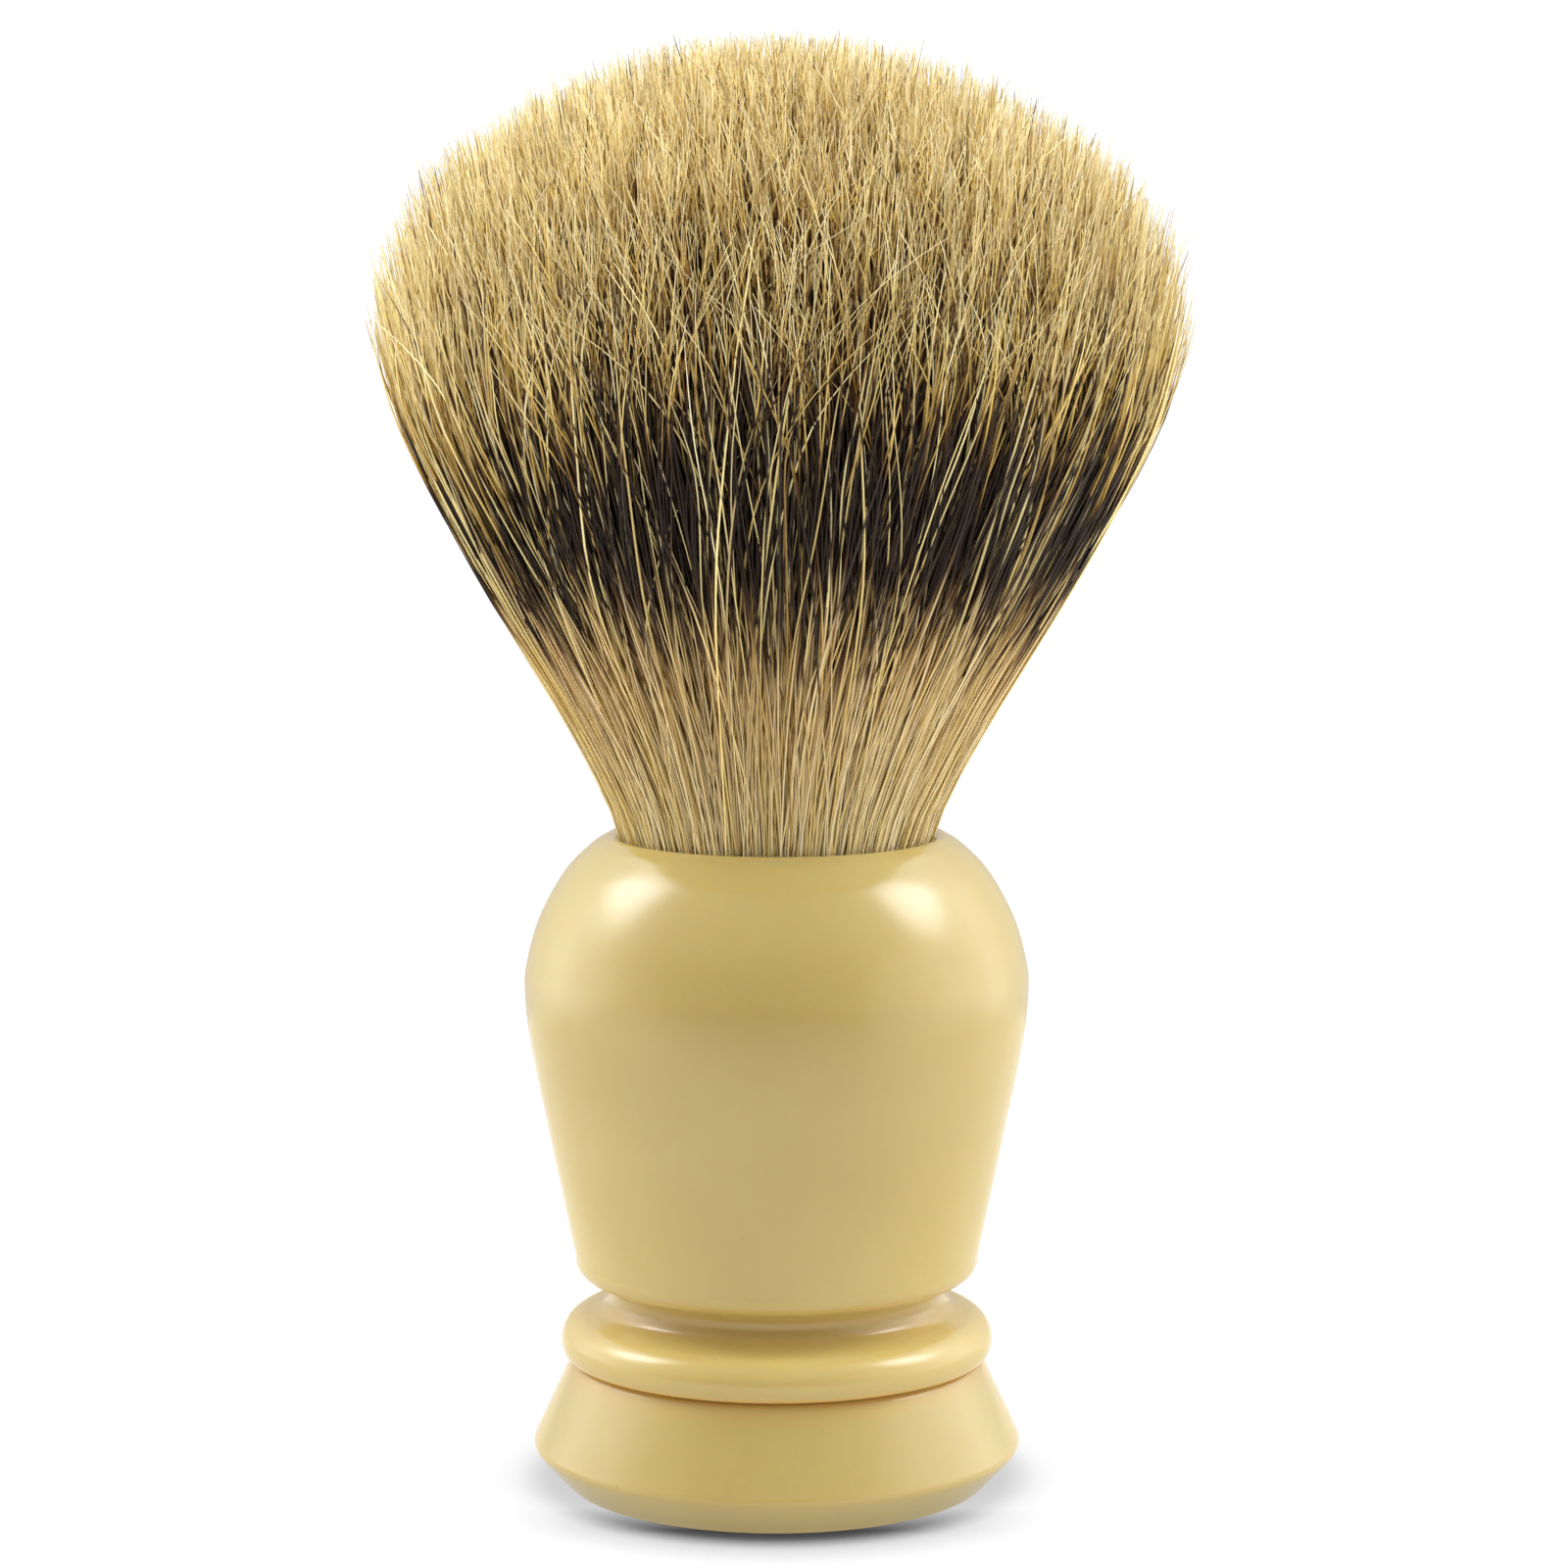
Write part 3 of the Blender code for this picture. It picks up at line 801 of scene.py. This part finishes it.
def round_light(name, direction, width, radiance, distance=1.0, target=(0, 0, 0.04)):
    """A round soft light: width is how many degrees of the object's sky it fills."""
    away = Vector(direction).normalized()
    data = bpy.data.lights.new(name, "AREA")
    data.shape = "DISK"
    data.size = 2 * distance * math.tan(math.radians(width / 2))
    data.energy = radiance * math.pi * math.pi * data.size ** 2 / 4
    light = bpy.data.objects.new(name, data)
    light.location = Vector(target) + away * distance
    light.rotation_euler = (-away).to_track_quat("-Z", "Y").to_euler()
    bpy.context.scene.collection.objects.link(light)
    return light


WHITE = 1.1                         # brightness at which the floor and the backdrop show pure white


def floor_material():
    """White paper, lit to pure white but for the soft shadow round the foot."""
    made = Material("white floor", (0.8, 0.8, 0.8, 1.0), 0.9)
    near = made.node("ShaderNodeAmbientOcclusion", samples=16)
    shadow_reach = 9 * MM
    near.inputs["Distance"].default_value = shadow_reach
    shade = made.ramp(near.outputs["AO"], [
        (0.05, grey(0.02)), (0.35, grey(0.10)), (0.6, grey(0.45)), (0.8, grey(0.82)), (0.95, grey(1.05)),
    ])
    parts = made.node("ShaderNodeSeparateXYZ")
    made.link(made.place(), parts.inputs["Vector"])
    beside = made.remap(parts.outputs["Y"], -14.5 * MM, -9 * MM, 0.0, 0.55)
    lit = made.mix(beside, shade, grey(WHITE))
    # What the object is lit by from below: dimmer towards the photographer, warm near the resin.
    close = made.remap(parts.outputs["Y"], -170 * MM, -60 * MM, 0.0, 1.0)
    bounce = made.mix(close, grey(0.3), (1.11, 1.06, 0.94, 1.0))
    bounce = made.mix(0.42, bounce, shade, "MULTIPLY")
    path = made.node("ShaderNodeLightPath")
    glow = made.node("ShaderNodeEmission")
    made.link(made.mix(path.outputs["Is Camera Ray"], bounce, lit), glow.inputs["Color"])
    made.link(glow.outputs[0], made.tree.nodes["Material Output"].inputs["Surface"])
    return made.data


def studio(hairs, resins):
    """The floor, the white surroundings and the lights, some of which light only hair or resin."""
    floor_radius = 170 * MM
    below = (0, 0, -0.02 * MM)
    bpy.ops.mesh.primitive_circle_add(vertices=96, radius=floor_radius, fill_type="NGON", location=below)
    floor = bpy.context.object
    floor.name = "floor"
    floor.data.materials.append(floor_material())

    # White surroundings: bright behind and at the sides, dim where the photographer stands, and a
    # white table below.
    world = bpy.data.worlds.new("studio")
    bpy.context.scene.world = world
    world.use_nodes = True
    tree = world.node_tree
    background = tree.nodes["Background"]
    coordinates = tree.nodes.new("ShaderNodeTexCoord")
    parts = tree.nodes.new("ShaderNodeSeparateXYZ")
    tree.links.new(coordinates.outputs["Generated"], parts.inputs["Vector"])

    def ramp(source, stops):
        made = tree.nodes.new("ShaderNodeMapRange")
        made.inputs["From Min"].default_value = -1.0
        tree.links.new(parts.outputs[source], made.inputs["Value"])
        shades = tree.nodes.new("ShaderNodeValToRGB")
        tree.links.new(made.outputs["Result"], shades.inputs["Fac"])
        elements = shades.color_ramp.elements
        while len(elements) < len(stops):
            elements.new(0.5)
        for element, (at, shade) in zip(elements, stops):
            element.position = (at + 1) / 2
            element.color = grey(shade)
        return shades.outputs["Color"]

    def mix(factor, first, second):
        made = tree.nodes.new("ShaderNodeMix")
        made.data_type = "RGBA"
        for socket, value in ((0, factor), (6, first), (7, second)):
            if isinstance(value, bpy.types.NodeSocket):
                tree.links.new(value, made.inputs[socket])
            else:
                made.inputs[socket].default_value = value
        return made.outputs[2]

    sky = ramp("Y", [
        (-1.0, 0.12), (-0.75, 0.18), (-0.25, 0.76), (0.1, 1.7), (0.45, 2.1), (0.75, 1.0), (1.0, 0.6),
    ])
    table = ramp("Y", [(-1.0, 1.0), (-0.5, 1.0), (0.0, 1.0), (0.3, 1.25), (0.8, 0.9)])
    lit = mix(ramp("Z", [(-0.42, 0.0), (-0.1, 1.0)]), table, sky)
    lit = mix(ramp("Z", [(0.7, 0.0), (0.95, 0.75)]), lit, grey(0.1))
    path = tree.nodes.new("ShaderNodeLightPath")
    seen = mix(path.outputs["Is Camera Ray"], lit, grey(WHITE))
    tree.links.new(seen, background.inputs["Color"])

    hair_fills = (((0, -1.0, -0.05), 60, 1.1), ((-0.3, -0.6, 0.78), 30, 1.4))
    for direction, width, radiance in hair_fills:
        fill = round_light("fill for the hair", direction, width, radiance)
        fill.light_linking.receiver_collection = hairs

    # Lights the bulb from above and in front, and shows in no reflection.
    overhead = round_light("overhead", (0, -0.42, 0.9), 60, 2.4)
    overhead.visible_glossy = False
    # A softbox at each side, as three discs over each other, so that it fades towards its edge.
    discs = ((21, 4.2, 0.68), (30, 2.2, 0.68), (40, 0.7, 0.66))
    for side, direction in (("left", (-0.74, 0.17)), ("right", (0.74, 0.05))):
        for width, radiance, rise in discs:
            round_light(f"softbox {side} {width}", (*direction, rise), width, radiance)
    window = round_light("window", (0.9, -0.4, 0.05), 50, 0.45)
    window.light_linking.receiver_collection = resins


def camera():
    """The camera, at the photograph's angle: level with the hair and looking down a little."""
    look_down = 7.05
    data = bpy.data.cameras.new("camera")
    data.sensor_width = 36.0
    data.lens = 101.25
    data.clip_start = 0.01
    made = bpy.data.objects.new("camera", data)
    made.location = (0.52 * MM, -312 * MM, 89 * MM)
    made.rotation_euler = (math.radians(90 - look_down), 0, 0)
    bpy.context.scene.collection.objects.link(made)
    bpy.context.scene.camera = made


# ---------------------------------------------------------------- assembly

camera()
hairs = bpy.data.collections.new("hairs")
resins = bpy.data.collections.new("resins")
studio(hairs, resins)
finish_cad_nodes()
resin = resin_material()
# The foot gets the same resin made darker by tone 0.95: painted shade, because the lights leave the foot
# too bright.
foot_resin_painted_shade = resin_material("cream resin with painted shade for the foot", tone=0.95)
for part in (body_piece(resin), neck_piece(resin), foot_piece(foot_resin_painted_shade)):
    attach(part, "handle")
    resins.objects.link(part)
knot(hairs)
bpy.context.scene.view_settings.view_transform = "Standard"
